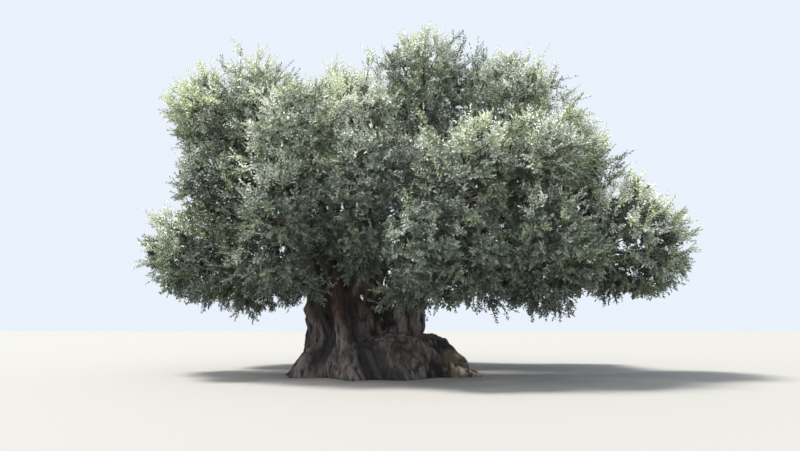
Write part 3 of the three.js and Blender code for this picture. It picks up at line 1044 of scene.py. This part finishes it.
def leaves_on(starts, ways, lengths, size, rng):
    """Folded narrow leaves in opposite pairs along each shoot, and one at its tip.

    Returns each leaf's base, left corner, tip and right corner, in the order of the shoots."""
    order = np.arange(LEAVES_PER_SHOOT)
    t = FIRST_LEAVES + LEAVES_RUN * (order // 2) / (LEAF_PAIRS - 1)
    t[-1] = 1.0
    side = across(ways, rng)
    other = np.cross(ways, side)
    turn = (order // 2) * np.pi / 2 + (order % 2) * np.pi
    turn = turn + rng.normal(0, TURN_VARIES, (len(starts), LEAVES_PER_SHOOT))
    out = np.cos(turn)[..., None] * side[:, None] + np.sin(turn)[..., None] * other[:, None]
    lean = np.radians(LEAN - LEAN_LOST * t) + rng.normal(0, LEAN_VARIES, turn.shape)
    lean[:, -1] *= TIP_LEAN
    along = np.cos(lean)[..., None] * ways[:, None] + np.sin(lean)[..., None] * out
    normal = np.sin(lean)[..., None] * ways[:, None] - np.cos(lean)[..., None] * out
    normal = normal + ROLL_VARIES * random_units(rng, *turn.shape)
    across_leaf = unit(np.cross(along, normal))
    normal = np.cross(across_leaf, along)
    grown = rng.uniform(*LEAF_RANGE, turn.shape) * (LEAF_SIZE - LEAF_SIZE_LOST * t)
    grown = grown[..., None]
    long, wide = size[0] * grown, size[1] * grown
    base = starts[:, None] + ways[:, None] * (lengths[:, None] * t)[..., None]
    middle = base + LEAF_WIDEST * long * along + LEAF_ARCH * long * normal
    fold = LEAF_FOLD * wide * normal
    left, right = middle + 0.5 * wide * across_leaf + fold, middle - 0.5 * wide * across_leaf + fold
    tip = base + long * along - LEAF_ARCH * long * normal
    return np.stack([base, left, tip, right], axis=2).reshape(-1, 4, 3)


def plain_piece(name, mesh, look):
    """A piece of the foliage in a plain material of its own."""
    piece = mesh_object(name, *mesh)
    finish_piece(piece, plain_material(*look), MASSES)
    return piece


def leaf_piece(name, leaves, colour):
    """Joins leaves of one colour into a piece. Each is two triangles that share the midrib."""
    first = 4 * np.arange(len(leaves))[:, None, None]
    faces = (first + np.array([[0, 2, 1], [0, 3, 2]])).reshape(-1, 3)
    plain_piece(name, (leaves.reshape(-1, 3), faces), (name, colour, LEAF_ROUGHNESS))


def shoot_cones(starts, ways, lengths, rng):
    """Vertices and triangles of the shoots, each a three-sided cone without a base."""
    side = across(ways, rng)
    other = np.cross(ways, side)
    ring = []
    for turn in 2 * np.pi * np.arange(3) / 3:
        ring.append(starts + SHOOT_RADIUS * (np.cos(turn) * side + np.sin(turn) * other))
    points = np.stack([*ring, starts + ways * lengths[:, None]], axis=1).reshape(-1, 3)
    pattern = np.array([[0, 1, 3], [1, 2, 3], [2, 0, 3]])
    faces = np.arange(len(starts))[:, None, None] * 4 + pattern
    return points, faces.reshape(-1, 3)


def bough_end(name, mass):
    """Where a bough ends inside a mass, the way it points there and its radius."""
    corners = np.unique(node_mesh("bough_" + name)[0].round(5), axis=0)
    inward = np.linalg.norm((corners - mass.centre) / mass.half, axis=1)
    rim = corners[np.argsort(inward)[:END_CORNERS]]
    end = rim.mean(axis=0)
    nearest = np.argsort(np.linalg.norm(corners - end, axis=1))
    back = corners[nearest[END_CORNERS : 2 * END_CORNERS]].mean(axis=0)
    return end, unit(end - back), np.linalg.norm(rim - end, axis=1).mean()


def deal_colours(value, warm):
    """Deals the leaves out to the pieces: the higher a leaf's value, the paler its piece, by painted
    light and shade together with the leaves' own tones.
    """
    dealt = np.empty(len(value), object)
    for family, mine in ((COOL_LEAVES, ~warm), (WARM_LEAVES, warm)):
        order = np.flatnonzero(mine)[np.argsort(value[mine])]
        shares = [share for _, share in family.values()]
        edges = np.round(np.cumsum([0] + shares) / sum(shares) * len(order)).astype(int)
        for name, first, last in zip(family, edges, edges[1:]):
            dealt[order[first:last]] = name
    return dealt


def limb_start(mass, masses):
    """Where the limbs of a mass start, the way they head there and their radius."""
    parent = SIDE_LIMBS.get(mass.name, mass.name)
    bearer = next(m for m in masses if m.name == parent)
    start, heading, radius = bough_end(parent, bearer)
    if bearer is not mass:
        heading = unit(SIDE_LIMB_BEND * heading + unit(mass.centre - start))
        radius = SIDE_LIMB_SHARE * radius
    return start, heading, radius


def by_facing(amounts, facing):
    """An amount at the crown's sides, with what is added to it on top and underneath."""
    side, top, under = amounts
    return side + top * np.clip(facing[:, 2], 0, 1) + under * np.clip(-facing[:, 2], 0, 1)


def outer_shoots(places, facing, light, arrivals, rng):
    """The shoots on the outer hubs, and which hub each is on. Some on top stand taller."""
    lift = by_facing(OUTER_LIFT, facing)
    length = by_facing(OUTER_LENGTH, facing) + LENGTH_VARIES * rng.random(len(places))
    share = SHADED_SHOOTS + LIT_SHOOTS * np.clip(FULL_LIGHT * light, 0, 1)
    count = np.round(OUTER_SHOOTS * share).astype(int)
    starts, ways, lengths, which = shoots_at(
        places, facing, arrivals, count, length, OUTER_SPREAD, lift, rng
    )
    tall = (rng.random(len(which)) < TALL_SHARE) & (facing[which, 2] > TALL_FACING)
    return starts, ways, np.where(tall, lengths * TALL_LENGTH, lengths), which


def hub_values(mass, places, facing, light, standing_light, rng):
    """The value of each outer hub. The higher it is, the paler are the leaves there, mostly by
    painted light and shade.
    """
    value = LIGHT_VALUE * light + STANDING_VALUE * standing_light + FACING_VALUE * facing[:, 2]
    # Painted light and shade: paler on each mass's upper left, darker on its lower right.
    value = value + ((places - mass.centre) / mass.half) @ PAINTED_LIGHT_SIDE
    value = value + HEIGHT_VALUE * (places[:, 2] - MIDDLE_HEIGHT)
    value = value + HUB_VARIES * rng.normal(size=len(places))
    # Painted light and shade on whole masses and in soft places.
    return value + SUNLIT.get(mass.name, 0) + amount_at(places, PAINTED_LIGHT_PLACES)


def warm_hubs(places, rng):
    """Which hubs bear the warm colours: more of them out to the sides and low down."""
    warmth = WARM_SHARE + WARM_TO_SIDES * places[:, 0] ** 2
    warmth = warmth - WARM_LOST_UP * (places[:, 2] - MIDDLE_HEIGHT)
    warmth = warmth + WARM_VARIES * (smooth_noise(places * WARM_PACE, WARM_SEED) - 0.5)
    warmth = warmth + amount_at(places, WARMER_PLACES)
    return rng.random(len(places)) < np.clip(warmth, *WARM_LIMITS)


def grow_mass(crown, mass, limbs, rng):
    """Adds a mass's limbs to the others.

    Returns the starts, directions, lengths, values and warmth of its outer shoots, then the
    starts, directions and lengths of its inner ones."""
    places, facing, light, standing_light, deep, deep_facing = crown.sites(mass, rng)
    hubs = np.concatenate([places, deep])
    start, heading, radius = limb_start(mass, crown.masses)
    arrivals = limbs.grow(start, heading, hubs, radius, rng)
    inner_from = len(places)
    starts, ways, lengths, which = outer_shoots(places, facing, light, arrivals[:inner_from], rng)
    value = hub_values(mass, places, facing, light, standing_light, rng)[which]
    value = value + SHOOT_VARIES * rng.normal(size=len(which))
    warm = warm_hubs(places, rng)[which]
    inner = (deep, deep_facing, arrivals[inner_from:], INNER_SHOOTS, INNER_SHOOT)
    inner = shoots_at(*inner, INNER_SPREAD, INNER_LIFT, rng)[:3]
    return (starts, ways, lengths, value, warm), inner


def build_outer_leaves(starts, ways, lengths, value, warm, rng):
    """The pieces of outer leaves, one for each colour of the two families."""
    leaves = leaves_on(starts, ways, lengths, OUTER_LEAF, rng)
    value = np.repeat(value, LEAVES_PER_SHOOT) + LEAF_VARIES * rng.normal(size=len(leaves))
    dealt = deal_colours(value, np.repeat(warm, LEAVES_PER_SHOOT))
    for name, (colour, _) in {**COOL_LEAVES, **WARM_LEAVES}.items():
        leaf_piece(name, leaves[dealt == name], colour)


def build_inner_leaves(starts, ways, lengths, rng):
    """The two pieces of inner leaves, of which those high up are painted paler as painted light."""
    leaves = leaves_on(starts, ways, lengths, INNER_LEAF, rng)
    high = np.repeat(starts[:, 2], LEAVES_PER_SHOOT) > INNER_HIGH
    leaf_piece("leaves_inner_low", leaves[~high], INNER_LOW_COLOUR)
    leaf_piece("leaves_inner_lit", leaves[high], INNER_LIT_COLOUR)


def build_foliage():
    """Grows each mass from random numbers of its own, then makes all the foliage's pieces."""
    rng = np.random.default_rng(SEED + 1)
    crown = Crown(rng)
    limbs = Limbs()
    outer, inner = [], []
    for order, mass in enumerate(crown.masses):
        of_mass = grow_mass(crown, mass, limbs, np.random.default_rng((SEED, order)))
        outer.append(of_mass[0])
        inner.append(of_mass[1])
    outer, inner = joined(outer), joined(inner)
    plain_piece("limbs", limbs.mesh(), TWIG_LOOK).data.shade_smooth()
    shoots = shoot_cones(*joined([outer[:3], inner]), rng)
    plain_piece("shoots", shoots, SHOOT_LOOK)
    build_outer_leaves(*outer, rng)
    build_inner_leaves(*inner, rng)


# Camera, lights and floor


def build_floor():
    """A plain level floor."""
    corners = np.array([[-1, -1, 0], [1, -1, 0], [1, 1, 0], [-1, 1, 0]]) * FLOOR_HALF
    floor = mesh_object("floor", corners, np.array([[0, 1, 2, 3]]))
    floor.data.materials.append(plain_material(*FLOOR_LOOK))


def build_stage():
    """The floor, the light of the sky, the lamps and the camera."""
    build_floor()
    scene = bpy.context.scene
    world = bpy.data.worlds.new("studio")
    world.use_nodes = True
    scene.world = world
    backdrop = world.node_tree.nodes["Background"]
    backdrop.inputs["Color"].default_value = linear(SKY_COLOUR)
    backdrop.inputs["Strength"].default_value = SKY_STRENGTH
    for name, way, energy, angle, colour in LIGHTS:
        sun = bpy.data.lights.new(name, "SUN")
        sun.energy = energy
        sun.angle = np.radians(angle)
        sun.color = colour
        lamp = bpy.data.objects.new(name, sun)
        lamp.rotation_euler = Vector(way).to_track_quat("-Z", "Y").to_euler()
        scene.collection.objects.link(lamp)
    camera = bpy.data.cameras.new("camera")
    camera.lens = CAMERA_LENS
    camera.sensor_width = CAMERA_SENSOR
    camera.clip_end = FURTHEST_SEEN
    scene.camera = bpy.data.objects.new("camera", camera)
    scene.camera.location = CAMERA_PLACE
    scene.camera.rotation_euler = (np.radians(90 + CAMERA_PITCH), 0, 0)
    scene.collection.objects.link(scene.camera)
    scene.view_settings.view_transform = "Standard"


build_stage()
build_bark()
build_foliage()
